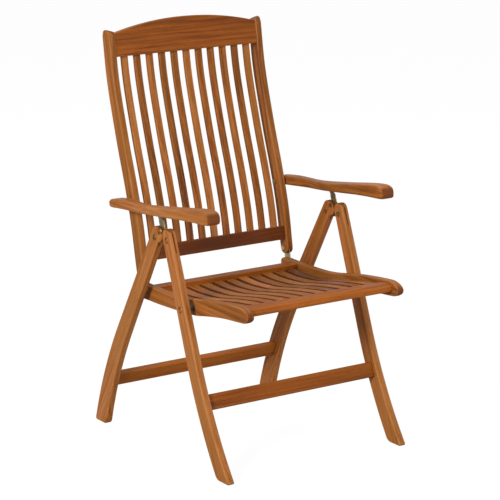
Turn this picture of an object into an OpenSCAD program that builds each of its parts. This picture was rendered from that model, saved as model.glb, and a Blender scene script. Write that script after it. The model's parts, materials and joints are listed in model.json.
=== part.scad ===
// Folding reclining armchair in wood, with steel plates and bolts.
// X runs across the chair, the front faces -Y, and Z is up from the floor.
// "Left" is the sitter's left, which is +X. Side shapes are drawn as (y, z).

/* [Legs] */
// Width over the outer faces of the legs
legs_span = 574; // [566:1:600]
// Thickness of each leg
leg_t = 21; // [19:0.5:22]
// Height of the pivot that joins a front leg to its steel plate
leg_pivot_z = 588; // [580:1:600]
// Distance along Y from the origin back to that pivot, negative to the front
leg_pivot_y = -35; // [-45:0.5:-25]
// Lean of the front leg's straight part from upright, in degrees
front_lean = 20.2; // [19:0.1:21]
// Height at which the front leg starts to bend
front_bend_z = 285; // [260:1:300]
// Radius of the front leg's bend
front_bend_r = 1300; // [1100:10:1600]
// Width of the front leg at its pivot
front_top_w = 38.6; // [36:0.2:40]
// Width of the front leg at the floor
front_foot_w = 48; // [44:0.5:56]
// Distance along Y between the leg centre lines at the pivot's height
leg_spread = 60; // [58:0.5:64]
// Lean of the rear leg's straight part from upright, in degrees
rear_lean = 30.6; // [29:0.1:32]
// Height at which the rear leg starts to bend
rear_bend_z = 290; // [270:1:310]
// Radius of the rear leg's bend
rear_bend_r = 1180; // [1050:10:1500]
// Width of the rear leg at the pivot's height
rear_top_w = 38; // [34:0.5:39]
// Width of the rear leg at the floor
rear_foot_w = 56; // [46:0.5:60]

// Radius of the round behind the front leg's foot
heel_r = 25; // [10:1:32]

/* [Stretchers] */
// Height of the front stretcher's centre
front_stretcher_z = 184; // [150:1:220]
// Height of the front stretcher's section
front_stretcher_h = 41; // [26:1:44]
// Height of the rear stretcher's centre
rear_stretcher_z = 133; // [110:1:150]
// Height of the rear stretcher's section
rear_stretcher_h = 38; // [30:1:44]
// Thickness of both stretchers
stretcher_t = 20; // [16:1:24]

/* [Seat] */
// Distance along the front leg from the leg pivot down to the seat pivot
seat_pivot_drop = 183.2; // [178:0.2:188]
// Gap between a leg and the seat rail inside it, which a spacer fills
rail_gap = 19; // [17:0.5:24]
// Thickness of a seat rail and of a back stile
rail_t = 20; // [18:1:22]
// Reach of the seat rail in front of the seat pivot
seat_front = 256; // [248:1:264]
// Reach of the seat rail behind the back pivot
seat_tail = 16.6; // [13.6:0.2:22]
// Depth of the guide bolt, which runs in the rear leg's slot, below the seat pivot
guide_drop = 5; // [2:0.5:8]
// Depth from front to back of the seat's front rail
front_rail_d = 56; // [50:1:62]
// Thickness of the seat's front and rear rails
cross_rail_t = 20; // [18:1:24]
// Depth from front to back of the seat's rear rail
rear_rail_d = 33; // [28:1:36]
// Width of a seat slat
seat_slat_w = 28; // [22:0.5:32]
// Thickness of a seat slat
seat_slat_t = 12; // [10:0.5:13]

/* [Back] */
// Reach of the back pivot behind the seat pivot
back_pivot_y = 267.4; // [265:0.2:270]
// Height of the back pivot above the seat pivot
back_pivot_z = 42; // [40:0.5:46]
// Height above the back pivot at which the stile's rounded top starts
stile_top = 615; // [608:1:624]
// Depth of the stile from front to back
stile_d = 37; // [34:0.5:39]
// Depth of the stile at its lower end
stile_end_d = 34; // [32:0.5:35]
// Height of the lower back rail's centre above the back pivot
low_rail_z = 43; // [42:1:52]
// Height of the lower back rail's section
low_rail_h = 38; // [30:1:40]
// Thickness of the lower back rail
low_rail_t = 18; // [15:0.5:20]
// Depth of the crest rail's lower edge below the start of the stile's rounded top
crest_drop = 56; // [50:1:66]
// Height of the crest rail at its ends
crest_h = 64; // [60:1:68]
// Rise of the crest rail's top arch from its ends to its middle
crest_rise = 29.5; // [15:0.5:32]
// Thickness of the crest rail
crest_t = 22; // [18:0.5:24]
// Width of a back slat
back_slat_w = 20; // [16:0.5:24]
// Thickness of a back slat
back_slat_t = 9; // [8:0.5:10]

/* [Armrests] */
// Height of the armrest pivot above the back pivot
arm_pivot_z = 181.5; // [178:0.5:185]
// Distance of the armrest pivot behind the stile's centre line
arm_pivot_back = 4; // [0:0.5:5]
// Reach of the armrest in front of its pivot
arm_reach = 461; // [454:1:468]
// Reach of the armrest behind its pivot
arm_tail = 42; // [36:1:48]
// Gap between a stile and the armrest beside it
arm_gap = 5; // [4:0.5:7]
// Drop of the armrest onto its catch pin from the drawn position
arm_drop = 5; // [4.6:0.1:5.4]
// Angle between neighbouring positions of the back, in degrees
recline_step = 7; // [6:0.5:7]

/* [Steel] */
// Thickness of the steel plates
plate_t = 3; // [2.5:0.1:4]
// Distance of the catch pin behind the leg pivot
pin_back = 51.5; // [49:0.5:54]
// Height of the catch pin above the leg pivot
pin_up = 59; // [56:0.5:62]
// Radius of the pivot bolts and guide bolts
pivot_r = 4; // [3.5:0.1:4.5]
// Radius of the bolts that hold the plates in the rear legs
plate_bolt_r = 3; // [2.5:0.1:3.5]
// Radius of the catch pin under the armrest
pin_r = 3; // [2.6:0.1:3.2]
// Length of the catch pin
pin_l = 15; // [14:0.5:15.5]
// Radius of the bolt heads
head_r = 6.5; // [6:0.1:7.5]
// Height of the bolt heads
head_h = 3; // [2:0.2:3.4]
// Radius of the recess round each bolt head in a leg's outer face
recess_r = 8.5; // [8:0.1:9.2]
// Depth of that recess
recess_d = 3.5; // [2:0.1:4]
// Height of the nuts
nut_h = 4.5; // [3:0.5:5]
// Radius of the spacers and washers on the pivot bolts
washer_r = 9; // [7.5:0.5:10]

/* [Fits] */
// Gap around a shaft or a tenon that fits its hole
fit = 0.05; // [0.03:0.01:0.08]
// Gap between flat pieces that turn past each other
side_gap = 0.3; // [0.2:0.05:0.5]
// Depth of a tenon in its mortise
tenon_d = 7; // [5:0.5:7.5]
// Shoulder on each broad side of a tenon
shoulder = 4; // [2:0.5:5]
// Shoulder at each edge of a stretcher's tenon or of the lower back rail's
edge_shoulder = 5; // [3:0.5:8]

/* [Hidden] */
// Steps of a curve from one of its points to the next
steps = 6;
leg_out = legs_span / 2;
leg_in = leg_out - leg_t;
plate_x = leg_out - leg_t / 2;
rail_out = leg_in - rail_gap;
rail_in = rail_out - rail_t;
hinge_x = rail_out - rail_t / 2;
slot_w = plate_t + 2 * side_gap;
slats = 11;
// The legs are drawn this far below the floor, and then cut off at it
floor_cut = max(front_foot_w, rear_foot_w);
// Reach of a cut that goes right through a piece
wide = 2 * legs_span;
seat_rear = back_pivot_y + seat_tail;
crest_z = stile_top - crest_drop;

// Points of the side view, each as [y, z]
leg_pivot = [leg_pivot_y, leg_pivot_z];
seat_pivot = leg_pivot - seat_pivot_drop * [sin(front_lean), cos(front_lean)];
rear_top = leg_pivot + [leg_spread, 0];
guide_z = seat_pivot.y - guide_drop;
guide = [rear_top.x + (leg_pivot_z - guide_z) * tan(rear_lean), guide_z];
back_pivot = seat_pivot + [back_pivot_y, back_pivot_z];
plate_bolt_low = leg_pivot + [leg_spread, -2.5];
plate_bolt_high = leg_pivot + [36, 18];
catch_pin = leg_pivot + [pin_back, pin_up];
// The hinge screw lies this far along from the guide bolt to the seat rail's end, as a share,
// and this far below the back pivot
hinge_share = 0.56;
hinge_drop = 48;
hinge_screw = [guide.x + hinge_share * (seat_pivot.x + seat_rear - guide.x),
    back_pivot.y - hinge_drop];

// Curve through the points p, with the given number of steps from one to the next
function spline(p) = let(n = len(p)) [
    for (i = [0 : n - 2], k = [0 : steps - 1]) let(
        t = k / steps, a = i > 0 ? p[i - 1] : 2 * p[0] - p[1], b = p[i],
        c = p[i + 1], d = i < n - 2 ? p[i + 2] : 2 * p[n - 1] - p[n - 2])
        0.5 * (2 * b + t * (c - a) + t * t * (2 * a - 5 * b + 4 * c - d)
            + t * t * t * (3 * b - a - 3 * c + d)),
    p[n - 1]];

// Closed curve through the points p
function loop_curve(p) = let(n = len(p)) [
    for (i = [0 : n - 1], k = [0 : steps - 1]) let(
        t = k / steps, a = p[(i + n - 1) % n], b = p[i],
        c = p[(i + 1) % n], d = p[(i + 2) % n])
        0.5 * (2 * b + t * (c - a) + t * t * (2 * a - 5 * b + 4 * c - d)
            + t * t * t * (3 * b - a - 3 * c + d))];

// Unit vector square to the line c at its point i
function side_of(c, i) = let(
    d = c[min(i + 1, len(c) - 1)] - c[max(i - 1, 0)]) [d.y, -d.x] / norm(d);

// Outline of a strip along the line c, with a width w for each of its points
function strip(c, w) = [
    for (i = [0 : len(c) - 1]) c[i] + side_of(c, i) * w[i] / 2,
    for (i = [len(c) - 1 : -1 : 0]) c[i] - side_of(c, i) * w[i] / 2];

// Outline at the distance r around the convex polygon p, whose points run anticlockwise
function rounded(p, r) = let(n = len(p)) [
    for (i = [0 : n - 1]) let(
        into = p[i] - p[(i + n - 1) % n], out = p[(i + 1) % n] - p[i],
        a = atan2(into.y, into.x) - 90, turn = (atan2(out.y, out.x) - 90 - a + 720) % 360,
        arcs = max(2, ceil(turn / 12)))
        for (k = [0 : arcs]) p[i] + r * [cos(a + turn * k / arcs), sin(a + turn * k / arcs)]];

// Centre line of a leg from its top to below the floor: straight, then an arc.
// way is -1 for a foot that goes to the front and 1 to the rear; r is negative
// where the leg gets steeper towards the floor.
function leg_line(top, lean, way, bend_z, r) = let(
    y0 = top.x + way * (top.y - bend_z) * tan(lean),
    end = asin(sin(lean) + (bend_z + floor_cut) / r)) [
    top,
    for (k = [0 : 24]) let(a = lean + (end - lean) * k / 24)
        [y0 + way * r * (cos(lean) - cos(a)), bend_z - r * (sin(a) - sin(lean))]];

// Widths along a leg, which grow evenly towards the floor
function leg_widths(c, top_w, foot_w) = [
    for (p = c) top_w + (foot_w - top_w) * (leg_pivot_z - p.y) / leg_pivot_z];

// Height of the front leg's rounded top's centre above the pivot, and of the rear leg's
cap_up = 10.5;
rear_cap_up = 9.6;
front_cap = leg_pivot + cap_up * [tan(front_lean), 1];
rear_cap = rear_top + rear_cap_up * [-tan(rear_lean), 1];
front_cap_r = front_top_w / 2 - 0.3;
rear_cap_r = rear_top_w / 2 - 0.2;
// The rear leg's full, rounded head, which fills out towards the front leg's top: its
// radius, its gap to that top and how much lower its centre lies
rear_head_r = 21.5;
head_gap = 2.25;
head_lower = 3;
head_apart = front_cap_r + head_gap + rear_head_r;
rear_head = front_cap + [sqrt(head_apart * head_apart - head_lower * head_lower), -head_lower];
front_line = leg_line(front_cap, front_lean, -1, front_bend_z, front_bend_r);
rear_line = leg_line(rear_cap, rear_lean, 1, rear_bend_z, -rear_bend_r);
// Place on a leg's centre line at the height z
function on_line(c, z) = [lookup(z, [for (i = [len(c) - 1 : -1 : 0]) [c[i].y, c[i].x]]), z];
// Lean of a line at its height z, in degrees from upright, positive to the rear going up
function lean_at(c, z) = let(d = on_line(c, z + 5) - on_line(c, z - 5)) atan2(d.x, d.y);

// Slot of the guide bolt: its travel down the rear leg and its half width
guide_travel = 166;
guide_slot_r = pivot_r + 2.2;
guide_end = guide + guide_travel * [sin(rear_lean), -cos(rear_lean)];

// Seat curves, each as [distance behind, height above] the seat pivot
rail_side = [[seat_rear, 0], [seat_rear - 2, 7], [seat_rear - 14, 13], [240, 12],
    [166, 10.8], [93, 12], [46, 15.5], [0, 22.6], [-68, 34.3], [-113, 40], [-157, 44.6],
    [52 - seat_front, 48], [33 - seat_front, 47.5], [14 - seat_front, 42],
    [2 - seat_front, 32], [3 - seat_front, 21.5], [13 - seat_front, 13.5],
    [30 - seat_front, 9], [-151, 3], [-104, -3.2], [-57, -11], [-9, -20], [50, -24.4],
    [113, -27.6], [170, -29.6], [213, -30], [seat_rear - 12, -30], [seat_rear, -22]];
rear_rail_front = 201.5;
rear_rail_top = 9;
front_rail_front = 25 - seat_front;
front_rail_back = front_rail_front + front_rail_d;
front_rail_top = 42.5;
slat_top = [[rear_rail_front + 12.5, -1], [143, -4.2], [93, -2.2], [46, 1.9], [0, 9.9],
    [-68, 21.9], [-113, 28.6], [front_rail_back + 18, 34.2], [front_rail_back - 5, 36.5]];
// Height of a seat slat's top at the distance y behind the seat pivot
slat_curve = spline(slat_top);
function slat_z(y) = lookup(y, [for (i = [len(slat_curve) - 1 : -1 : 0]) slat_curve[i]]);

// Centre line of a stile, as [distance behind, height above] the back pivot
stile_line = spline([[-1.5, -17], [0, 0], [5, 26], [24, 122], [53.4, 222], [94, 342],
    [137.8, 492], [158.9 + (stile_top - 615) * 0.16, stile_top]]);
// Height above the back pivot from which the stile has its full depth
stile_full_z = 60;
function stile_w(z) = stile_end_d + (stile_d - stile_end_d) * min(1, z / stile_full_z);
low_rail_lean = lean_at_up(low_rail_z);
crest_mid_z = crest_z + crest_h / 2;
crest_lean = lean_at_up(crest_mid_z);
// Set-forward of the crest rail, the back slats and the lower rail from the stile's centre line
crest_forward = stile_d / 2 - crest_t / 2 - 2;
slat_forward = 3.5;
low_rail_forward = 4;
// Place on the stile's centre line at the height z above the back pivot
function stile_at(z) = [lookup(z, [for (p = stile_line) [p.y, p.x]]), z];
function lean_at_up(z) = let(d = stile_at(z + 6) - stile_at(z - 6)) atan2(d.x, d.y);

arm_pivot = back_pivot + stile_at(arm_pivot_z) + [arm_pivot_back, 0];
// The armrest pivot leans back by recline_step, about the back pivot, from one position to
// the next. Each notch lies as far from the pivot as the catch pin is in that position.
notches = 5;
notch_at = [for (k = [0 : notches - 1]) let(
    a = k * recline_step, d = arm_pivot - back_pivot)
    norm(catch_pin - back_pivot - [d.x * cos(a) + d.y * sin(a), d.y * cos(a) - d.x * sin(a)])];
notch_first = notch_at[0];
notch_last = notch_at[notches - 1];
// Slope of the line from armrest pivot to catch pin going forward, and the drop onto the pin
arm_slope = atan2(catch_pin.y - arm_pivot.y, arm_pivot.x - catch_pin.x);
drop_angle = asin(arm_drop / notch_first);
// The rack is a channel of bent sheet: its room beside the hook plate, its wall, the width
// between its walls, its inner height above the notch centres and its reach past the first
// and last notch
rack_room = 3.5;
rack_wall = 1.5;
rack_gap = plate_t + 2 * rack_room;
rack_roof = 7.8;
rack_over = 13;
notch_room = 0.15;
// Groove in the armrest for the rack and the plate under it
groove_w = pin_l + 2;
groove_over = rack_over + 4;
arm_in = rail_out + arm_gap;
// Length of the armrest bolt inside the armrest
arm_bolt_in = 29;
// Armrest side view, as [distance in front, height above] its pivot along its own slope
arm_side = [[-arm_tail, -2.5], [1.2 - arm_tail, 3], [6 - arm_tail, 7.5], [17 - arm_tail, 10.8],
    [0, 13.5], [40, 16], [86, 16], [136, 15.6], [187, 19], [236, 23.8], [286, 29], [334, 35],
    [382, 40.8], [arm_reach - 43, 43.4], [arm_reach - 24, 43], [arm_reach - 10, 38.5],
    [arm_reach - 2, 29.5], [arm_reach, 20], [arm_reach - 1.5, 13.5], [arm_reach - 7, 10],
    [arm_reach - 20, 8.8], [arm_reach - 46, 8.6], [arm_reach - 76, 8.2], [334, 6.5],
    [284, 3.2], [234, 0], [184, -3.6], [134, -6.6], [83, -8.4], [30, -10], [0, -11.5],
    [20 - arm_tail, -12.8], [6 - arm_tail, -12.4], [1 - arm_tail, -8.5]];
// Armrest seen from above, as [distance in front of its pivot, distance from the middle]
arm_plan = [[-arm_tail, arm_in + 9], [3 - arm_tail, arm_in + 2.5], [12 - arm_tail, arm_in],
    [-10, arm_in], [10, arm_in], [24, arm_in],
    [60, arm_in + 4], [107, arm_in + 8.5], [150, arm_in + 5], [200, arm_in - 1],
    [280, arm_in - 3], [380, arm_in], [arm_reach - 24, arm_in + 1], [arm_reach - 6, arm_in + 3.5],
    [arm_reach, arm_in + 10], [arm_reach + 0.6, arm_in + 23], [arm_reach, arm_in + 36],
    [arm_reach - 6, arm_in + 43], [arm_reach - 22, arm_in + 45.2],
    [400, arm_in + 46], [330, arm_in + 48], [280, arm_in + 48.5], [180, arm_in + 44.5],
    [100, arm_in + 41], [0, arm_in + 39], [12 - arm_tail, arm_in + 38.6],
    [3 - arm_tail, arm_in + 36], [-arm_tail, arm_in + 29]];

wood = "peru";
dark_wood = "sienna";
steel = "darkkhaki";

slat_names = ["seat_slat_01", "seat_slat_02", "seat_slat_03", "seat_slat_04", "seat_slat_05",
    "seat_slat_06", "seat_slat_07", "seat_slat_08", "seat_slat_09", "seat_slat_10",
    "seat_slat_11"];
back_names = ["back_slat_01", "back_slat_02", "back_slat_03", "back_slat_04", "back_slat_05",
    "back_slat_06", "back_slat_07", "back_slat_08", "back_slat_09", "back_slat_10",
    "back_slat_11"];

// Extrudes a side view, drawn as (y, z), from x0 to x1
module across(x0, x1) {
    translate([x0, 0, 0]) rotate([90, 0, 90]) linear_extrude(x1 - x0) children();
}

// Round bar along X at the side-view point p
module bar(p, x0, x1, r) {
    translate([x0, p.x, p.y]) rotate([0, 90, 0]) cylinder(h = x1 - x0, r = r, $fn = 48);
}

// Hexagonal nut along X, on a bolt of radius r
module nut(p, x0, r) {
    difference() {
        translate([x0, p.x, p.y]) rotate([0, 90, 0]) cylinder(h = nut_h, r = r * 1.75, $fn = 6);
        bar(p, x0 - 1, x0 + nut_h + 1, r + fit);
    }
}

// Low domed head on a bolt, which starts at x0 and rises outwards
module dome(p, x0, r = head_r, h = head_h) {
    ball = (r * r + h * h) / (2 * h);
    translate([x0, p.x, p.y]) rotate([0, 90, 0]) rotate_extrude($fn = 48) intersection() {
        translate([0, h - ball]) circle(r = ball, $fn = 96);
        square([r, h]);
    }
}

// Two-dimensional bar with round ends of radius r, from p to q
module round_bar(p, q, r) {
    d = q - p;
    translate(p) circle(r = r, $fn = 48);
    translate(q) circle(r = r, $fn = 48);
    translate(p) rotate(atan2(d.y, d.x)) translate([0, -r]) square([norm(d), 2 * r]);
}

// Board whose section is w by h, centred on p and leaning by the given angle
module board(p, lean, w, h, x0, x1) {
    across(x0, x1) translate(p) rotate(-lean) square([w, h], center = true);
}

// Tenon at the end x0 of a cross member, or its mortise where grow is set
module tenon(p, lean, w, h, x0, grow = 0) {
    board(p, lean, w + 2 * grow, h + 2 * grow, x0 - 1, x0 + tenon_d + grow);
}

// Draws what it holds on the left, and again on the right
module both() {
    children();
    mirror([1, 0, 0]) children();
}

// Draws the left piece, or its mirror image for the right side
module on_side(left) {
    if (left) children();
    else mirror([1, 0, 0]) children();
}

front_stretcher_at = on_line(front_line, front_stretcher_z);
front_stretcher_lean = lean_at(front_line, front_stretcher_z);
rear_stretcher_at = on_line(rear_line, rear_stretcher_z);
rear_stretcher_lean = lean_at(rear_line, rear_stretcher_z);

module front_leg(left) {
    color(wood) on_side(left) difference() {
        across(leg_in, leg_out) {
            polygon(strip(front_line, leg_widths(front_line, front_top_w, front_foot_w)));
            translate(front_cap) circle(r = front_cap_r, $fn = 72);
        }
        translate([-wide, -wide, -2 * floor_cut]) cube([2 * wide, 2 * wide, 2 * floor_cut]);
        across(0, wide) heel_corner();
        plate_slot(leg_pivot, front_lean, front_slot_down);
        leg_hole(leg_pivot, pivot_r);
        leg_hole(seat_pivot, pivot_r);
        tenon(front_stretcher_at, front_stretcher_lean, stretcher_t - 2 * shoulder,
            front_stretcher_h - 2 * edge_shoulder, leg_in, fit);
    }
}

// Corner cut away behind the front leg's foot to leave the round of radius heel_r
module heel_corner() {
    lean = lean_at(front_line, 6);
    inset = heel_r / tan(45 + lean / 2);
    middle = [on_line(front_line, 0).x + front_foot_w / 2 / cos(lean) - inset, heel_r];
    translate(middle) difference() {
        polygon(2 * heel_r * [[0, 0], [0, -1], [1, -1], [cos(lean), -sin(lean)]]);
        circle(r = heel_r, $fn = 96);
    }
}

// Saw cut for the steel plate in a leg top, open upwards and to both edges, and its depth
// below the front leg's pivot and below the rear leg's lower plate bolt
module plate_slot(p, lean, down) {
    across(plate_x - slot_w / 2, plate_x + slot_w / 2)
        translate(p) rotate(-lean) translate([-wide, -down]) square([2 * wide, down + wide]);
}
front_slot_down = 38;
rear_slot_down = 18;

module rear_leg(left) {
    color(wood) on_side(left) difference() {
        across(leg_in, leg_out) {
            polygon(strip(rear_line, leg_widths(rear_line, rear_top_w, rear_foot_w)));
            translate(rear_cap) circle(r = rear_cap_r, $fn = 72);
            translate(rear_head) circle(r = rear_head_r, $fn = 72);
        }
        translate([-wide, -wide, -2 * floor_cut]) cube([2 * wide, 2 * wide, 2 * floor_cut]);
        plate_slot(plate_bolt_low, -rear_lean, rear_slot_down);
        leg_hole(plate_bolt_low, plate_bolt_r);
        leg_hole(plate_bolt_high, plate_bolt_r);
        across(leg_in - 1, plate_x + 1.5) round_bar(guide, guide_end, guide_slot_r);
        tenon(rear_stretcher_at, rear_stretcher_lean, stretcher_t - 2 * shoulder,
            rear_stretcher_h - 2 * edge_shoulder, leg_in, fit);
    }
}

module front_stretcher() {
    color(dark_wood) stretcher(front_stretcher_at, front_stretcher_lean, front_stretcher_h);
}

module rear_stretcher() {
    color(dark_wood) stretcher(rear_stretcher_at, rear_stretcher_lean, rear_stretcher_h);
}

module stretcher(p, lean, h) {
    board(p, lean, stretcher_t, h, -leg_in, leg_in);
    both() tenon(p, lean, stretcher_t - 2 * shoulder, h - 2 * edge_shoulder, leg_in);
}

// Steel plate that joins the leg tops and carries the catch pin
module hook_plate(left) {
    color(steel) on_side(left) difference() {
        across(plate_x - plate_t / 2, plate_x + plate_t / 2) {
            polygon(rounded([leg_pivot, plate_bolt_low, plate_bolt_high,
                leg_pivot + [11, 11]], plate_edge));
            polygon(rounded([plate_bolt_high - [6, 3], plate_arm_top], plate_arm_r));
            polygon(rounded([plate_arm_top, catch_pin], plate_tip_r));
        }
        bar(leg_pivot, 0, wide, pivot_r + fit);
        bar(plate_bolt_low, 0, wide, plate_bolt_r + fit);
        bar(plate_bolt_high, 0, wide, plate_bolt_r + fit);
        bar(catch_pin, 0, wide, pin_r + fit);
    }
}
// The hook plate's edge distance round its bolts, and the half widths of its arm and its tip
plate_edge = 12.5;
plate_arm_r = 10.5;
plate_tip_r = 7;
plate_arm_top = catch_pin - [11, 17];

module seat_rail(left) {
    color(wood) on_side(left) difference() {
        across(rail_in, rail_out) translate(seat_pivot) polygon(spline(rail_side));
        bar(seat_pivot, 0, wide, pivot_r + fit);
        bar(guide, hinge_x - slot_w / 2, wide, pivot_r + fit);
        bar(hinge_screw, 0, wide, plate_bolt_r + fit);
        hinge_slot();
        front_rail_tenon(fit);
        rear_rail_tenon(fit);
    }
}
front_rail_lean = -4;
front_rail_at = seat_pivot + [front_rail_front + front_rail_d / 2, front_rail_top - 12];
rear_rail_at = seat_pivot + [rear_rail_front + rear_rail_d / 2, rear_rail_top - cross_rail_t / 2];

// Tenon of the seat's front rail, and of its rear rail, whose tenon is shorter at the back to
// keep clear of the hinge plate's saw cut
module front_rail_tenon(grow = 0) {
    tenon(front_rail_at, front_rail_lean, front_rail_d - 4 * edge_shoulder,
        cross_rail_t - 2 * shoulder, rail_in, grow);
}
module rear_rail_tenon(grow = 0) {
    back_shoulder = 14.5;
    tenon(rear_rail_at - [(back_shoulder - edge_shoulder) / 2, 0], 0,
        rear_rail_d - edge_shoulder - back_shoulder, cross_rail_t - 2 * shoulder, rail_in, grow);
}

// Saw cut for the hinge plate in the rear end of a seat rail, open upwards and rearwards
module hinge_slot() {
    across(hinge_x - slot_w / 2, hinge_x + slot_w / 2)
        translate([guide.x, min(guide.y, hinge_screw.y)] - (hinge_edge + 1) * [1, 1]) square(wide);
}

// Front rail of the seat, with a rounded front edge
module seat_front_rail() {
    front = front_rail_front;
    back = front_rail_back;
    top = front_rail_top;
    under = top - cross_rail_t;
    color(dark_wood) difference() {
        union() {
            across(-rail_in, rail_in) translate(seat_pivot) polygon(concat(
                spline([[back, slat_z(back) + 1.5], [front + 28, top], [front + 12, top - 1],
                    [front + 3, top - 6], [front, top - 14]]),
                [[front + 2, under - 0.5], [front + 12, under - 1.5], [back, under - 5]]));
            both() front_rail_tenon();
        }
        for (i = [0 : slats - 1]) seat_tenon(i, back, -1, fit);
    }
}

module seat_rear_rail() {
    color(dark_wood) difference() {
        union() {
            board(rear_rail_at, 0, rear_rail_d, cross_rail_t, -rail_in, rail_in);
            both() rear_rail_tenon();
        }
        for (i = [0 : slats - 1]) seat_tenon(i, rear_rail_front, 1, fit);
    }
}

// Middle of slat i of the width w, counted from the right, with all gaps alike
function slat_x(i, w) = (i - (slats - 1) / 2) * (w + (2 * rail_in - slats * w) / (slats + 1));

// Tenon of seat slat i at the distance y behind the seat pivot, pointing forward or back
module seat_tenon(i, y, way, grow = 0) {
    depth = tenon_d + grow + 1;
    high = seat_slat_t - 2 * slat_shoulder + 2 * grow;
    w = seat_slat_w - 4 * slat_shoulder + 2 * grow;
    translate([slat_x(i, seat_slat_w) - w / 2, seat_pivot.x + y - (way < 0 ? depth - 1 : 1),
        seat_pivot.y + slat_z(y) - slat_shoulder + grow - high])
            cube([w, depth, high]);
}
slat_shoulder = 2;

module seat_slat(i) {
    color(wood) {
        x = slat_x(i, seat_slat_w);
        across(x - seat_slat_w / 2, x + seat_slat_w / 2) translate(seat_pivot)
            intersection() {
                polygon(concat(slat_curve, [for (k = [len(slat_curve) - 1 : -1 : 0])
                    slat_curve[k] - [0, seat_slat_t]]));
                translate([front_rail_back, -wide])
                    square([rear_rail_front - front_rail_back, 2 * wide]);
            }
        seat_tenon(i, front_rail_back, -1);
        seat_tenon(i, rear_rail_front, 1);
    }
}

module back_stile(left) {
    color(wood) on_side(left) difference() {
        across(rail_in, rail_out) translate(back_pivot) {
            polygon(strip(stile_body, [for (p = stile_body) stile_w(p.y)]));
            circle(r = stile_end_d / 2 - 0.3, $fn = 72);
            translate(stile_at(stile_top)) circle(r = stile_cap_r, $fn = 96);
        }
        ear_cut();
        across(hinge_x - slot_w / 2, hinge_x + slot_w / 2) translate(back_pivot)
            translate([-wide, -wide]) square([2 * wide, wide + hinge_edge + hinge_room]);
        bar(back_pivot, 0, wide, pivot_r + fit);
        bar(arm_pivot, 0, wide, pivot_r + fit);
        low_rail_tenon(fit);
        crest_tenon(fit);
    }
}
stile_body = [for (p = stile_line) if (p.y >= -0.01) p];
// The hinge plate's edge distance round its bolts, and the room over it in the stile's saw cut
hinge_edge = 12.5;
hinge_room = 5;
// Radius of the stile's rounded top, and how much lower that top is on its inner side
stile_cap_r = stile_d / 2 - 0.2;
ear_drop = 8;
// Cut that slopes the stile's top down to the crest rail
module ear_cut() {
    top = back_pivot + stile_at(stile_top);
    translate([0, top.x, top.y]) rotate([90 - lean_at_up(stile_top - 6), 0, 0])
        translate([0, 0, -stile_d]) linear_extrude(2 * stile_d)
            polygon([[rail_out + 1, stile_cap_r + 0.5], [rail_in - 1, stile_cap_r - ear_drop],
                [rail_in - 1, stile_d], [rail_out + 1, stile_d]]);
}
low_rail_at = back_pivot + stile_at(low_rail_z) - [low_rail_forward, 0];
crest_at = back_pivot + stile_at(crest_mid_z)
    - crest_forward * [cos(crest_lean), -sin(crest_lean)];

module low_rail_tenon(grow = 0) {
    tenon(low_rail_at, low_rail_lean, low_rail_t - 2 * shoulder, low_rail_h - 2 * edge_shoulder,
        rail_in, grow);
}
module crest_tenon(grow = 0) {
    tenon(crest_at, crest_lean, crest_t - 3 * shoulder, crest_h - 4 * edge_shoulder, rail_in, grow);
}

module low_back_rail() {
    color(dark_wood) difference() {
        union() {
            board(low_rail_at, low_rail_lean, low_rail_t, low_rail_h, -rail_in, rail_in);
            both() low_rail_tenon();
        }
        for (i = [0 : slats - 1]) slat_strip(i, fit);
    }
}

module crest_rail() {
    half = rail_in;
    arch_r = (half * half + crest_rise * crest_rise) / (2 * crest_rise);
    color(dark_wood) difference() {
        union() {
            translate([0, crest_at.x, crest_at.y]) rotate([90 - crest_lean, 0, 0])
                translate([0, 0, -crest_t / 2]) linear_extrude(crest_t) {
                    translate([-half, -crest_h / 2]) square([2 * half, crest_h]);
                    intersection() {
                        translate([0, crest_h / 2 + crest_rise - arch_r])
                            circle(r = arch_r, $fn = 360);
                        translate([-half, 0]) square([2 * half, crest_h]);
                    }
                }
            both() crest_tenon();
        }
        for (i = [0 : slats - 1]) slat_strip(i, fit);
    }
}

// Back slat i from mortise to mortise, grown all round where it cuts its mortises
module slat_strip(i, grow = 0) {
    low = low_rail_z + low_rail_h / 2 - tenon_d - grow;
    high = crest_z + tenon_d + grow;
    line = [stile_at(low), for (p = stile_line) if (p.y > low + 1 && p.y < high - 1) p,
        stile_at(high)];
    w = back_slat_w + 2 * grow;
    x = slat_x(i, back_slat_w);
    across(x - w / 2, x + w / 2) translate(back_pivot + [-slat_forward, 0])
        polygon(strip(line, [for (p = line) back_slat_t + 2 * grow]));
}

module back_slat(i) {
    color(wood) slat_strip(i);
}

// Places what it holds in the armrest's own side view: from its pivot, forward along its
// slope. tip turns it further, nose up.
module in_arm(x0, x1, tip = 0) {
    across(x0, x1) translate(arm_pivot) rotate(-arm_slope - tip) mirror([1, 0]) children();
}

module armrest(left) {
    color(wood) on_side(left) difference() {
        intersection() {
            in_arm(rail_out, wide) polygon(loop_curve(arm_side));
            translate([0, arm_pivot.x, arm_pivot.y]) rotate([-arm_slope, 0, 0])
                translate([0, 0, -wide]) linear_extrude(2 * wide)
                    polygon([for (p = loop_curve(arm_plan)) [p.y, -p.x]]);
        }
        in_arm(plate_x - groove_w / 2, plate_x + groove_w / 2, drop_angle)
            translate([notch_first - groove_over, -wide])
                square([notch_last - notch_first + 2 * groove_over, wide + rack_roof + rack_wall]);
        bar(arm_pivot, 0, arm_in + arm_bolt_in + 1, pivot_r + fit);
        rack_screw_holes();
    }
}

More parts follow.
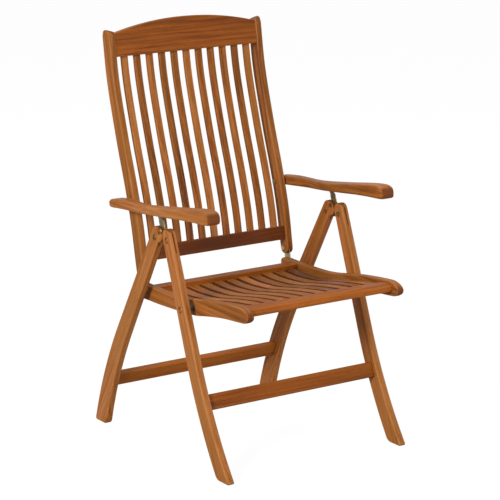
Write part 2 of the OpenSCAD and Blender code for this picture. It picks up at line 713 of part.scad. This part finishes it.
// Steel channel under the armrest, with five notches for the catch pin in each wall
module notched_rack(left) {
    color(steel) on_side(left) difference() {
        in_arm(plate_x - rack_gap / 2 - rack_wall, plate_x + rack_gap / 2 + rack_wall,
            drop_angle) translate([notch_first - rack_over, 0])
                square([notch_last - notch_first + 2 * rack_over, rack_roof + rack_wall]);
        in_arm(plate_x - rack_gap / 2, plate_x + rack_gap / 2, drop_angle)
            translate([notch_first - 2 * rack_over, -wide])
                square([notch_last - notch_first + 4 * rack_over, wide + rack_roof]);
        in_arm(0, wide, drop_angle) for (d = notch_at)
            translate([d, 0]) circle(r = pin_r + notch_room, $fn = 48);
        rack_screw_holes();
    }
}

// The two screws that hold a rack up in its groove
rack_screw_r = 1.6;
rack_screw_l = 3.4;
rack_screw_head_r = 3.2;
rack_screw_head_h = 1.4;
rack_screw_over = 8;
module rack_screw_shanks(r, from, l) {
    translate([plate_x, arm_pivot.x, arm_pivot.y]) rotate([-arm_slope - drop_angle, 0, 0])
        for (d = [notch_first - rack_screw_over, notch_last + rack_screw_over])
            translate([0, -d, from]) cylinder(h = l, r = r, $fn = 24);
}
module rack_screw_holes() {
    rack_screw_shanks(rack_screw_r + fit, rack_roof - 1, rack_wall + rack_screw_l + 1);
}
module rack_screws(left) {
    color(steel) on_side(left) {
        rack_screw_shanks(rack_screw_r, rack_roof - 0.1, rack_wall + rack_screw_l);
        rack_screw_shanks(rack_screw_head_r, rack_roof - rack_screw_head_h, rack_screw_head_h);
    }
}

// Steel plate between a seat rail and a stile
module hinge_plate(left) {
    color(steel) on_side(left) difference() {
        across(hinge_x - plate_t / 2, hinge_x + plate_t / 2) {
            polygon(rounded([back_pivot, hinge_screw], hinge_edge));
            polygon(rounded([hinge_screw, guide], hinge_edge - 1.5));
        }
        bar(back_pivot, 0, wide, pivot_r + fit);
        bar(hinge_screw, 0, wide, plate_bolt_r + fit);
        bar(guide, 0, wide, pivot_r + fit);
    }
}

// Bolt through a leg, with its head in a recess outside and its nut inside
module leg_bolt(p, r, x0) {
    bar(p, x0 - nut_h, leg_out - recess_d, r);
    dome(p, leg_out - recess_d);
    nut(p, x0 - nut_h, r);
}
// Hole in a leg for such a bolt
module leg_hole(p, r) {
    bar(p, 0, wide, r + fit);
    bar(p, leg_out - recess_d, wide, recess_r);
}

module leg_pivot_bolts() {
    color(steel) both() leg_bolt(leg_pivot, pivot_r, leg_in);
}

module plate_bolts() {
    color(steel) both() {
        leg_bolt(plate_bolt_low, plate_bolt_r, leg_in);
        leg_bolt(plate_bolt_high, plate_bolt_r, leg_in);
    }
}

module catch_pins() {
    color(steel) both() bar(catch_pin, plate_x - pin_l / 2, plate_x + pin_l / 2, pin_r);
}

module seat_pivot_bolts() {
    color(steel) both() leg_bolt(seat_pivot, pivot_r, rail_in - side_gap);
}

module seat_spacers() {
    color(steel) both() difference() {
        bar(seat_pivot, rail_out + side_gap, leg_in - side_gap / 2, washer_r);
        bar(seat_pivot, 0, wide, pivot_r + fit);
    }
}

// Bolts in the seat rails whose ends slide in the rear legs' slots, each with a collar
guide_washer_t = 5;
guide_washer_r = 8;
module guide_bolts() {
    color(steel) both() {
        bar(guide, hinge_x - plate_t / 2, plate_x, pivot_r);
        difference() {
            bar(guide, rail_out, rail_out + guide_washer_t, guide_washer_r);
            bar(guide, 0, wide, pivot_r + fit);
        }
    }
}

module back_pivot_bolts() {
    color(steel) both() {
        bar(back_pivot, rail_in - side_gap - nut_h, rail_out + side_gap, pivot_r);
        dome(back_pivot, rail_out + side_gap);
        nut(back_pivot, rail_in - side_gap - nut_h, pivot_r);
    }
}

// Screws through the seat rails and hinge plates, which end short of the rails' inner faces
screw_short = 3;
screw_head_r = 5.5;
screw_head_h = 2;
module hinge_screws() {
    color(steel) both() {
        bar(hinge_screw, rail_in + screw_short, rail_out, plate_bolt_r);
        dome(hinge_screw, rail_out, screw_head_r, screw_head_h);
    }
}

// Bolt that an armrest turns on, with its nut on the stile's inner face
module armrest_bolt(left) {
    color(steel) on_side(left) {
        bar(arm_pivot, rail_in - side_gap - nut_h, arm_in + arm_bolt_in, pivot_r);
        nut(arm_pivot, rail_in - side_gap - nut_h, pivot_r);
    }
}

module armrest_washer(left) {
    color(steel) on_side(left) difference() {
        bar(arm_pivot, rail_out + side_gap, arm_in - side_gap, washer_r);
        bar(arm_pivot, 0, wide, pivot_r + fit);
    }
}

front_leg(true);  // front_leg_left
front_leg(false);  // front_leg_right
rear_leg(true);  // rear_leg_left
rear_leg(false);  // rear_leg_right
front_stretcher();
rear_stretcher();
hook_plate(true);  // hook_plate_left
hook_plate(false);  // hook_plate_right
seat_rail(true);  // seat_rail_left
seat_rail(false);  // seat_rail_right
seat_front_rail();
seat_rear_rail();
back_stile(true);  // back_stile_left
back_stile(false);  // back_stile_right
low_back_rail();
crest_rail();
armrest(true);  // armrest_left
armrest(false);  // armrest_right
notched_rack(true);  // notched_rack_left
notched_rack(false);  // notched_rack_right
rack_screws(true);  // rack_screws_left
rack_screws(false);  // rack_screws_right
hinge_plate(true);  // hinge_plate_left
hinge_plate(false);  // hinge_plate_right
leg_pivot_bolts();
plate_bolts();
catch_pins();
seat_pivot_bolts();
seat_spacers();
guide_bolts();
back_pivot_bolts();
hinge_screws();
armrest_bolt(true);  // armrest_bolt_left
armrest_bolt(false);  // armrest_bolt_right
armrest_washer(true);  // armrest_washer_left
armrest_washer(false);  // armrest_washer_right
for (i = [0 : slats - 1]) {
    seat_slat(i);
    back_slat(i);
}
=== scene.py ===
import json
import math
import random

import bmesh
import bpy
from mathutils import Matrix, Vector


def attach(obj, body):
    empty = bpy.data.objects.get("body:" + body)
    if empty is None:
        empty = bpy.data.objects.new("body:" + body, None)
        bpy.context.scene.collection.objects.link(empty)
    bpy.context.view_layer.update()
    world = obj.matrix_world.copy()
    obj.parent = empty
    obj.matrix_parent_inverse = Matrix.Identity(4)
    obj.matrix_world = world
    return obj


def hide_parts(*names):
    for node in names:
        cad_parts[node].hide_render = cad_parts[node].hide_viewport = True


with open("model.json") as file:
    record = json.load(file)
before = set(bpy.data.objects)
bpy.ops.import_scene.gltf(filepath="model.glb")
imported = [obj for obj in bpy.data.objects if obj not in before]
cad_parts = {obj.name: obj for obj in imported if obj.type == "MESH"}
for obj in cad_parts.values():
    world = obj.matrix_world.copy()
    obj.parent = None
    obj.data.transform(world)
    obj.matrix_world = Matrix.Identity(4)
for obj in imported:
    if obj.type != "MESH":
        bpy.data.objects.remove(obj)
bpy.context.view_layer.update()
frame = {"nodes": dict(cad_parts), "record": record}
nodes = frame["nodes"]
body_of = {n: b for b, names in frame["record"]["behaviour"]["bodies"].items() for n in names}
slot_of = {s["node"]: s["material_slot"] for s in frame["record"]["subparts"]}


# Camera, at the photograph's angle: its place in metres, its turn, rise and roll in
# degrees, and its lens in millimetres on a 36 mm sensor.
EYE = Vector((-3.2554, -4.8158, 1.9379))
TURN, RISE, ROLL = 34.04, 13.74, -0.11
LENS, SENSOR = 160.6, 36

turn, rise, roll = map(math.radians, (TURN, RISE, ROLL))
ahead = Vector((math.sin(turn) * math.cos(rise), math.cos(turn) * math.cos(rise), -math.sin(rise)))
level = Vector((math.cos(turn), -math.sin(turn), 0))
upright = level.cross(ahead)
right = level * math.cos(roll) + upright * math.sin(roll)
up = upright * math.cos(roll) - level * math.sin(roll)
cam = bpy.data.objects.new("camera", bpy.data.cameras.new("camera"))
bpy.context.scene.collection.objects.link(cam)
cam.matrix_world = Matrix((
    (right.x, up.x, -ahead.x, EYE.x), (right.y, up.y, -ahead.y, EYE.y),
    (right.z, up.z, -ahead.z, EYE.z), (0, 0, 0, 1)))
cam.data.sensor_width = SENSOR
cam.data.lens = LENS
cam.data.clip_end = 60
bpy.context.scene.camera = cam


# Materials. Every wooden piece carries four attributes: "grain", each point's place along and
# across its board in metres, "tone", how light the board is, and at each face corner two more: how
# squarely the face cuts the grain, raised by painted shade on slat sides, and whether the face
# rounds an edge, where it is paler, partly from wear and partly as a painted highlight.
def node_tree(name):
    mat = bpy.data.materials.new(name)
    mat.use_nodes = True
    tree = mat.node_tree
    return mat, tree, tree.nodes["Principled BSDF"]


def add(tree, kind, **values):
    """Adds a shader node; a value that is a socket is linked, and any other is set."""
    made = tree.nodes.new(kind)
    for key, value in values.items():
        if key.startswith("in_"):
            socket = made.inputs[int(key[3:])] if key[3:].isdigit() else made.inputs[key[3:]]
            if isinstance(value, bpy.types.NodeSocket):
                tree.links.new(value, socket)
            else:
                socket.default_value = value
        else:
            setattr(made, key, value)
    return made


def math_node(tree, operation, a, b=0.0, c=0.0):
    return add(tree, "ShaderNodeMath", operation=operation, in_0=a, in_1=b, in_2=c).outputs[0]


def mix_colour(tree, factor, a, b):
    made = tree.nodes.new("ShaderNodeMix")
    made.data_type = "RGBA"
    for index, value in ((0, factor), (6, a), (7, b)):
        if isinstance(value, bpy.types.NodeSocket):
            tree.links.new(value, made.inputs[index])
        else:
            made.inputs[index].default_value = value
    return made.outputs[2]


def ramp(tree, factor, *stops):
    made = add(tree, "ShaderNodeValToRGB", in_0=factor)
    elements = made.color_ramp.elements
    while len(elements) < len(stops):
        elements.new(0.5)
    for element, (place, colour) in zip(elements, stops):
        element.position = place
        element.color = (*colour, 1)
    return made.outputs[0]


def stretched(tree, coordinates, scale, **noise):
    """Noise with its own scale along each axis."""
    spread = add(tree, "ShaderNodeVectorMath", operation="MULTIPLY", in_0=coordinates, in_1=scale)
    return add(tree, "ShaderNodeTexNoise", in_Vector=spread.outputs[0],
               **{"in_" + k: v for k, v in noise.items()}).outputs[0]


ROUGH = 0.38   # oiled wood's least roughness
LEVEL = -0.72  # brings the sum of the wood's patterns to a middle of one half


def wood_material(name, dark, middle, light):
    """Oiled hardwood: broad figure, growth rings, fine streaks and open pores along the grain,
    darker where the grain ends and, as painted shade, on slat sides, and paler on rounded edges,
    partly from wear and partly as a painted highlight."""
    mat, tree, shader = node_tree(name)
    place = add(tree, "ShaderNodeAttribute", attribute_name="grain").outputs["Vector"]
    tone, end, edge_wear_and_highlight = (add(tree, "ShaderNodeAttribute", attribute_name=a).outputs["Fac"]
                       for a in ("tone", "end", "edge_wear_and_highlight"))
    figure = stretched(tree, place, (2.4, 24, 24), Scale=1.0, Detail=3.0, Roughness=0.55)
    streak = stretched(tree, place, (6, 260, 260), Scale=1.0, Detail=4.0, Roughness=0.62)
    fine = stretched(tree, place, (30, 1200, 1200), Scale=1.0, Detail=2.0, Roughness=0.6)
    pores = stretched(tree, place, (55, 1500, 1500), Scale=1.0, Detail=1.0, Roughness=0.5)
    bent = add(tree, "ShaderNodeVectorMath", operation="MULTIPLY", in_0=place, in_1=(0.6, 70, 70))
    rings = add(tree, "ShaderNodeTexWave", wave_type="BANDS", bands_direction="DIAGONAL",
                in_Vector=bent.outputs[0], in_Scale=0.55, in_Distortion=6.0,
                in_Detail=2.0).outputs[1]
    lightness = LEVEL
    for pattern, share in ((tone, 0.44), (rings, 0.16), (streak, 0.95), (figure, 0.90)):
        lightness = math_node(tree, "MULTIPLY_ADD", pattern, share, lightness)
    base = ramp(tree, lightness, (0.20, dark), (0.50, middle), (0.82, light))
    hue = stretched(tree, place, (1.6, 14, 14), Scale=1.0, Detail=1.0)
    olive = ramp(tree, hue, (0.40, (0, 0, 0)), (0.66, (0.5, 0.5, 0.5)))
    base = mix_colour(tree, olive, base, (middle[0] * 0.86, middle[1] * 1.02, middle[2] * 0.7, 1))
    open_pore = ramp(tree, pores, (0.30, (1, 1, 1)), (0.42, (0, 0, 0)))
    base = mix_colour(tree, math_node(tree, "MULTIPLY", open_pore, 0.45), base, (*dark, 1))
    # rounded edges are paler: partly wear, partly a painted highlight
    wear_and_highlight = math_node(tree, "MULTIPLY", edge_wear_and_highlight, math_node(tree, "MULTIPLY", figure, 0.45))
    base = mix_colour(tree, wear_and_highlight, base, (light[0] * 1.1, light[1] * 1.15, light[2] * 1.3, 1))
    # end grain is darker, and on slat sides the same dark colour lays painted shade
    end_grain_and_shade_mask = ramp(tree, end, (0.34, (0, 0, 0)), (0.74, (0.88, 0.88, 0.88)))
    base = mix_colour(tree, end_grain_and_shade_mask, base, (dark[0], dark[1] * 0.95, dark[2] * 0.9, 1))
    tree.links.new(base, shader.inputs["Base Color"])
    tree.links.new(math_node(tree, "MULTIPLY_ADD", fine, 0.24, ROUGH),
                   shader.inputs["Roughness"])
    height = math_node(tree, "MULTIPLY_ADD", open_pore, -0.7, math_node(
        tree, "MULTIPLY_ADD", streak, 0.8, math_node(tree, "MULTIPLY", fine, 0.4)))
    bump = add(tree, "ShaderNodeBump", in_Strength=0.4, in_Distance=0.0006, in_Height=height)
    tree.links.new(bump.outputs[0], shader.inputs["Normal"])
    shader.inputs["Specular IOR Level"].default_value = 0.16
    return mat


def steel_material(name, colour, rough):
    """Zinc-plated steel with a passivated film whose colour drifts, and fine scratches."""
    mat, tree, shader = node_tree(name)
    place = add(tree, "ShaderNodeTexCoord").outputs["Object"]
    film = stretched(tree, place, (60, 60, 60), Scale=1.0, Detail=3.0)
    marks = stretched(tree, place, (900, 250, 250), Scale=1.0, Detail=3.0)
    r, g, b = colour
    base = ramp(tree, film, (0.30, (r * 0.6, g * 0.6, b * 0.6)), (0.55, colour),
                (0.78, (r * 1.15, g * 1.02, b * 0.8)))
    tree.links.new(base, shader.inputs["Base Color"])
    shader.inputs["Metallic"].default_value = 1
    tree.links.new(math_node(tree, "MULTIPLY_ADD", marks, 0.35, rough - 0.15),
                   shader.inputs["Roughness"])
    bump = add(tree, "ShaderNodeBump", in_Strength=0.25, in_Distance=0.0003, in_Height=marks)
    tree.links.new(bump.outputs[0], shader.inputs["Normal"])
    return mat


frame_wood = wood_material("frame_wood", (0.140, 0.036, 0.004), (0.350, 0.113, 0.021),
                           (0.510, 0.196, 0.060))
cross_wood = wood_material("cross_wood", (0.103, 0.021, 0.001), (0.260, 0.063, 0.003),
                           (0.380, 0.108, 0.010))
slat_wood = wood_material("slat_wood", (0.090, 0.021, 0.001), (0.305, 0.090, 0.011),
                          (0.490, 0.180, 0.046))
woods = {"frame_wood": frame_wood, "cross_wood": cross_wood, "slat_wood": slat_wood}
plate_steel = steel_material("plate_steel", (0.34, 0.30, 0.17), 0.40)
bolt_steel = steel_material("bolt_steel", (0.36, 0.24, 0.10), 0.46)
bright_steel = steel_material("bright_steel", (0.62, 0.54, 0.36), 0.35)
# the sleeves are painted near black: painted shade between the seat rails and the legs
sleeve_steel_painted_shade = steel_material("sleeve_steel_painted_shade", (0.13, 0.11, 0.07), 0.50)


# Wooden pieces: each is sawn and planed from its own board, so its grain runs straight
# along it, and its long edges are rounded with a router bit.
SHALLOWEST, DEEPEST = 0.002, 0.005  # depths between which a hole is a bolt head's recess


def cleaned(node):
    """A copy of a CAD node's mesh as bmesh, with its flat faces whole again."""
    bm = bmesh.new()
    bm.from_mesh(nodes[node].data)
    bmesh.ops.remove_doubles(bm, verts=bm.verts, dist=1e-6)
    bmesh.ops.dissolve_limit(bm, angle_limit=math.radians(0.25), verts=bm.verts, edges=bm.edges,
                             delimit={"NORMAL"})
    return bm


def sharp_edges(bm, least=35):
    return [e for e in bm.edges if len(e.link_faces) == 2
            and e.calc_face_angle_signed(0) > math.radians(least)]


def width(face):
    xs = [v.co.x for v in face.verts]
    return max(xs) - min(xs)


def extent(edges):
    points = [v.co for e in edges for v in e.verts]
    return (Vector(map(max, zip(*points))) - Vector(map(min, zip(*points)))).length


def outline_edges(bm, near=1e-5):
    """The outer rims of a board's two faces, which lie square to X, without the rim that a
    shallow recess shares with them. They come in the mesh's order, the same in each run."""
    kept = set()
    for x in (min(v.co.x for v in bm.verts), max(v.co.x for v in bm.verts)):
        rim = {e for e in sharp_edges(bm) if all(abs(v.co.x - x) < near for v in e.verts)}
        loops = []
        while rim:
            stack, loop = [rim.pop()], []
            while stack:
                e = stack.pop()
                loop.append(e)
                for v in e.verts:
                    for other in v.link_edges:
                        if other in rim:
                            rim.discard(other)
                            stack.append(other)
            loops.append(loop)
        if loops:
            kept.update(max(loops, key=extent))
    return [e for e in bm.edges if e in kept and max(width(f) for f in e.link_faces) > DEEPEST]


def whole_outline(bm, least=0.0008, margin=0.0052):
    """The same rims, once their shortest edges are merged, so that a wide round fits them,
    and without the edges beside a bolt head's recess."""
    bmesh.ops.dissolve_degenerate(bm, edges=outline_edges(bm), dist=least)
    walls = [v.co.copy() for f in bm.faces if SHALLOWEST < width(f) < DEEPEST for v in f.verts]
    return [e for e in outline_edges(bm)
            if all((v.co - w).length > margin for v in e.verts for w in walls)]


def span(edge, axis):
    return abs((edge.verts[1].co - edge.verts[0].co)[axis])


# How light each of these boards is, where 0.5 is the middle; a slat's is drawn at random
TONES = {"low_back_rail": -0.25, "crest_rail": 0.42, "front_stretcher": 0.62,
         "rear_stretcher": 0.9, "seat_front_rail": 0.85, "front_leg_left": 0.8,
         "front_leg_right": 0.8, "rear_leg_left": 0.55, "rear_leg_right": 0.75,
         "back_stile_left": 0.3, "back_stile_right": 0.35, "seat_rail_left": 0.5,
         "seat_rail_right": 0.4, "armrest_left": 0.4, "armrest_right": 0.75}


def finish_piece(bm, node, along, seed, painted_side_shade=0):
    """Makes the piece that replaces a CAD node, with its attributes. The grain runs along the
    given direction, and the last argument says how strongly the faces square to X are darkened
    as painted shade, laid on like end grain."""
    name = node + "_wood"
    along = Vector(along).normalized()
    wear_and_highlight = bm.faces.layers.float.get("edge_wear_and_highlight")
    edge_wear_and_highlight = [f[wear_and_highlight] if wear_and_highlight else 0 for f in bm.faces]
    mesh = bpy.data.meshes.new(name)
    bm.to_mesh(mesh)
    bm.free()
    side = Vector((1, 0, 0)) if abs(along.x) < 0.5 else Vector((0, 1, 0))
    side = (side - along * side.dot(along)).normalized()
    third = along.cross(side)
    chance = random.Random(seed)
    shift = [chance.uniform(0, 8) for _ in range(3)]
    tone = TONES.get(node, chance.random())
    mesh.attributes.new("grain", "FLOAT_VECTOR", "POINT").data.foreach_set("vector", [
        v.co.dot(axis) + start for v in mesh.vertices
        for axis, start in zip((along, side, third), shift)])
    mesh.attributes.new("tone", "FLOAT", "POINT").data.foreach_set(
        "value", [tone] * len(mesh.vertices))
    mesh.shade_smooth()
    mesh.set_sharp_from_angle(angle=math.radians(32))
    # how squarely each face cuts the grain, and on slats how far it faces X, as painted shade
    ends = [max(abs(n.vector.dot(along)), painted_side_shade * abs(n.vector.x)) for n in mesh.corner_normals]
    mesh.attributes.new("end", "FLOAT", "CORNER").data.foreach_set("value", ends)
    wear_and_highlight_corners = [edge_wear_and_highlight[f.index] for f in mesh.polygons for _ in f.loop_indices]
    if wear_and_highlight:
        mesh.attributes.remove(mesh.attributes["edge_wear_and_highlight"])
    mesh.attributes.new("edge_wear_and_highlight", "FLOAT", "CORNER").data.foreach_set("value", wear_and_highlight_corners)
    piece = bpy.data.objects.new(name, mesh)
    bpy.context.scene.collection.objects.link(piece)
    piece.modifiers.new("normals", "WEIGHTED_NORMAL").keep_sharp = True
    mesh.materials.append(woods[slot_of[node]])
    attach(piece, body_of[node])
    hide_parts(node)


def bevelled(bm, edges, radius, segments=3, clamp=True):
    """Rounds the edges, and marks their new faces for a paler colour, partly edge wear and partly
    a painted highlight. Without the clamp, short edges beside the round don't narrow it."""
    edge_wear_and_highlight = bm.faces.layers.float.get("edge_wear_and_highlight") or bm.faces.layers.float.new("edge_wear_and_highlight")
    made = bmesh.ops.bevel(bm, geom=list(edges), offset=radius, offset_type="OFFSET",
                           segments=segments, profile=0.5, affect="EDGES", clamp_overlap=clamp)
    for f in made["faces"]:
        f[edge_wear_and_highlight] = 1


def foot_corners(bm, floor_gap=0.0005, least=0.015):
    """The two edges across a foot where it meets the floor."""
    return [e for e in sharp_edges(bm, 15) if span(e, 0) > least
            and all(v.co.z < floor_gap for v in e.verts)]


# Legs: four bars of 21 mm board, bent in outline, each in two prongs round its steel plate.
# The left ones are the right ones' mirror images.
FOOT_ROUND, LEG_ROUND = 0.0095, 0.0038
for seed, node in enumerate(("front_leg_left", "front_leg_right", "rear_leg_left",
                             "rear_leg_right")):
    bm = cleaned(node.replace("left", "right"))
    bevelled(bm, foot_corners(bm), FOOT_ROUND, 5)
    bevelled(bm, whole_outline(bm), LEG_ROUND, 4, False)
    if node.endswith("left"):
        bmesh.ops.scale(bm, vec=(-1, 1, 1), verts=bm.verts)
        bmesh.ops.reverse_faces(bm, faces=bm.faces)
    lean = 0.40 if node.startswith("front") else -0.55
    finish_piece(bm, node, (0, lean, 1), 11 + seed)

# Seat rails, with a nose rolled over the front, and back stiles: side pieces of 20 mm board
RAIL_ROUND, STILE_ROUND = 0.0044, 0.0032
for seed, node in enumerate(("seat_rail_left", "seat_rail_right", "back_stile_left",
                             "back_stile_right")):
    bm = cleaned(node)
    if "rail" in node:
        bevelled(bm, outline_edges(bm), RAIL_ROUND, 4)
        along = (0, 1, 0.02)
    else:
        bevelled(bm, whole_outline(bm), STILE_ROUND, 4, False)
        along = (0, 0.25, 1)
    finish_piece(bm, node, along, 21 + seed)

# Cross members, tenoned between the sides, with their long edges rounded. The crest's arched
# top is rounded too, between its tenons.
CROSS_ROUND = 0.0028
LONG, LONG_CREST, LONG_ARCH = 0.25, 0.3, 0.0015
TENONS_START, ARCH_FOOT = 0.2275, 1.045
for seed, node in enumerate(("front_stretcher", "rear_stretcher", "seat_front_rail",
                             "seat_rear_rail", "low_back_rail", "crest_rail")):
    bm = cleaned(node)
    if node == "crest_rail":
        edges = [e for e in sharp_edges(bm) if span(e, 0) > LONG_ARCH
                 and all(abs(v.co.x) < TENONS_START for v in e.verts)
                 and (max(v.co.z for v in e.verts) > ARCH_FOOT or e.calc_length() > LONG_CREST)]
    else:
        edges = [e for e in sharp_edges(bm) if span(e, 0) > LONG]
    bevelled(bm, edges, CROSS_ROUND)
    finish_piece(bm, node, (1, 0, 0), 31 + seed)

# Slats: thin bars, curved to the sitter, with small rounded edges. Their sides are darkened with
# painted shade, where the gaps between slats lie in shadow, and most so in the seat.
SLAT_ROUND = 0.0018
for seed, node in enumerate(sorted(n for n in nodes if "_slat_" in n)):
    bm = cleaned(node)
    if node.startswith("seat"):
        axis, along, painted_side_shade = 1, (0, 1, 0), 0.72
    else:
        axis, along, painted_side_shade = 2, (0, 0.22, 1), 0.47
    edges = [e for e in outline_edges(bm) if span(e, axis) > 0.7 * e.calc_length()]
    bevelled(bm, edges, SLAT_ROUND, 2)
    finish_piece(bm, node, along, 41 + seed, painted_side_shade)

# Armrests: shaped from thick stock and sanded round all over. Each is lofted from round-cornered
# sections of the CAD solid, and then cut with it, which leaves the rack's groove and the bores.
ARM_SLOPE = math.radians(2.16)
ARM_ROUND = 0.0065
END_GAP, SKIN = 0.0002, 0.00004  # the loft starts inside the solid's ends and stays in its sides
STATIONS = 72
forward = Vector((0, -math.cos(ARM_SLOPE), math.sin(ARM_SLOPE)))
above = Vector((0, math.sin(ARM_SLOPE), math.cos(ARM_SLOPE)))


def section(solid, station):
    """Width and height limits of a solid where a plane square to the arm cuts it."""
    bm = solid.copy()
    cut = bmesh.ops.bisect_plane(bm, geom=bm.verts[:] + bm.edges[:] + bm.faces[:],
                                 plane_co=forward * station, plane_no=forward)["geom_cut"]
    points = [g.co for g in cut if isinstance(g, bmesh.types.BMVert)]
    xs, hs = [p.x for p in points], [p.dot(above) for p in points]
    bm.free()
    return min(xs), max(xs), min(hs), max(hs)


def round_ring(x0, x1, h0, h1, radius, steps=6):
    """A rectangle with round corners, whose radius stays just under half of either side."""
    radius = min(radius, 0.48 * (x1 - x0), 0.48 * (h1 - h0))
    ring = []
    for x, h, start in ((x1, h1, 0), (x0, h1, 90), (x0, h0, 180), (x1, h0, 270)):
        cx = x - radius if x == x1 else x + radius
        ch = h - radius if h == h1 else h + radius
        for k in range(steps + 1):
            a = math.radians(start + 90 * k / steps)
            ring.append((cx + radius * math.cos(a), ch + radius * math.sin(a)))
    return ring


def armrest_loft(solid):
    """Rounded sections along the arm, which lie closest together near its ends."""
    reach = [v.co.dot(forward) for v in solid.verts]
    first, last = min(reach) + END_GAP, max(reach) - END_GAP
    bm = bmesh.new()
    rings = []
    for i in range(STATIONS + 1):
        t = i / STATIONS
        share = 0.55 * t + 0.45 * (1 - math.cos(math.pi * t)) / 2
        share = (1 - math.cos(math.pi * share)) / 2
        station = first + (last - first) * share
        x0, x1, h0, h1 = section(solid, station)
        ring = round_ring(x0 + SKIN, x1 - SKIN, h0 + SKIN, h1 - SKIN, ARM_ROUND)
        rings.append([bm.verts.new(Vector((x, 0, 0)) + above * h + forward * station)
                      for x, h in ring])
    for a, b in zip(rings, rings[1:]):
        for k in range(len(a)):
            bm.faces.new((a[k - 1], a[k], b[k], b[k - 1]))
    bm.faces.new(rings[0])
    bm.faces.new(list(reversed(rings[-1])))
    bmesh.ops.recalc_face_normals(bm, faces=bm.faces)
    return bm


def held(bm, name):
    """An object that holds a bmesh, for the cut."""
    mesh = bpy.data.meshes.new(name)
    bm.to_mesh(mesh)
    bm.free()
    obj = bpy.data.objects.new(name, mesh)
    bpy.context.scene.collection.objects.link(obj)
    return obj


for seed, node in enumerate(("armrest_left", "armrest_right")):
    solid = cleaned(node)
    loft, cutter = held(armrest_loft(solid), "loft"), held(solid, "cutter")
    cut = loft.modifiers.new("cut", "BOOLEAN")
    cut.operation, cut.solver, cut.object = "INTERSECT", "EXACT", cutter
    shaped = bpy.data.meshes.new_from_object(
        loft.evaluated_get(bpy.context.evaluated_depsgraph_get()))
    bm = bmesh.new()
    bm.from_mesh(shaped)
    for spare in (loft, cutter):
        bpy.data.objects.remove(spare)
    finish_piece(bm, node, (0, 1, -0.04), 81 + seed)

# Steel: plates cut from sheet, rolled bolts and nuts, and turned pins, all zinc-plated. They keep
# their CAD solids. The bright ones are less tarnished, and the sleeves between rails and legs
# are painted dark, as the shade that falls between the two woods.
BRIGHT = ("back_pivot_bolts", "catch_pins", "hinge_plate_left", "hinge_plate_right")
for name, obj in nodes.items():
    if slot_of[name] == "steel":
        if name in BRIGHT:
            look = bright_steel
        elif name == "seat_spacers":
            look = sleeve_steel_painted_shade
        elif "bolt" in name or "screws" in name:
            look = bolt_steel
        else:
            look = plate_steel
        obj.data.materials.clear()
        obj.data.materials.append(look)


# Floor, background and lamps: the ground is white to the camera, as in the photograph, while the
# chair is lit by three lamps and an even sky
FLOOR_RADIUS = 14


def whitened(tree, shader_socket, white, keep, mirrored):
    """Shows white to the camera, and in reflections if mirrored is set, with a share kept of
    the lit surface."""
    path = add(tree, "ShaderNodeLightPath").outputs
    seen = path["Is Camera Ray"]
    if mirrored:
        seen = math_node(tree, "MAXIMUM", seen, math_node(
            tree, "MAXIMUM", path["Is Glossy Ray"], path["Is Transmission Ray"]))
    plain = add(tree, "ShaderNodeEmission", in_Color=(1, 1, 1, 1), in_Strength=white)
    return add(tree, "ShaderNodeMixShader", in_0=math_node(tree, "MULTIPLY", seen, 1 - keep),
               in_1=shader_socket, in_2=plain.outputs[0]).outputs[0]


floor_mesh = bpy.data.meshes.new("floor")
bm = bmesh.new()
bmesh.ops.create_circle(bm, cap_ends=True, segments=96, radius=FLOOR_RADIUS)
bm.to_mesh(floor_mesh)
bm.free()
floor = bpy.data.objects.new("floor", floor_mesh)
bpy.context.scene.collection.objects.link(floor)
floor_mat, tree, shader = node_tree("floor")
# a middle grey floor throws little light up at the chair; the camera sees it paler
seen = add(tree, "ShaderNodeLightPath").outputs["Is Camera Ray"]
tree.links.new(mix_colour(tree, seen, (0.5, 0.5, 0.5, 1), (0.92, 0.92, 0.92, 1)),
               shader.inputs["Base Color"])
shader.inputs["Roughness"].default_value = 0.9
shader.inputs["Specular IOR Level"].default_value = 0.1
tree.links.new(whitened(tree, shader.outputs[0], 1.05, 0.10, False),
               tree.nodes["Material Output"].inputs[0])
floor_mesh.materials.append(floor_mat)

world = bpy.data.worlds.new("world")
bpy.context.scene.world = world
world.use_nodes = True
tree = world.node_tree
ambient = tree.nodes["Background"]
ambient.inputs[0].default_value = (1, 1, 1, 1)
ambient.inputs[1].default_value = 0.36
tree.links.new(whitened(tree, ambient.outputs[0], 1.0, 0.0, True),
               tree.nodes["World Output"].inputs[0])


AIM = Vector((0, 0, 0.5))


def lamp(name, place, size, power, colour):
    data = bpy.data.lights.new(name, "AREA")
    data.shape, data.size, data.energy, data.color = "DISK", size, power, colour
    obj = bpy.data.objects.new(name, data)
    bpy.context.scene.collection.objects.link(obj)
    obj.location = place
    obj.rotation_mode = "QUATERNION"
    obj.rotation_quaternion = (AIM - Vector(place)).to_track_quat("-Z", "Y")


lamp("key", (-5.2, -2.6, 3.2), 1.8, 300, (1, 0.97, 0.93))
lamp("fill", (1.6, -5.0, 1.4), 2.6, 75, (1, 0.98, 0.96))
lamp("top", (0.5, 1.5, 4.5), 2.4, 62, (1, 1, 1))

bpy.context.scene.view_settings.view_transform = "Standard"

bpy.context.view_layer.update()
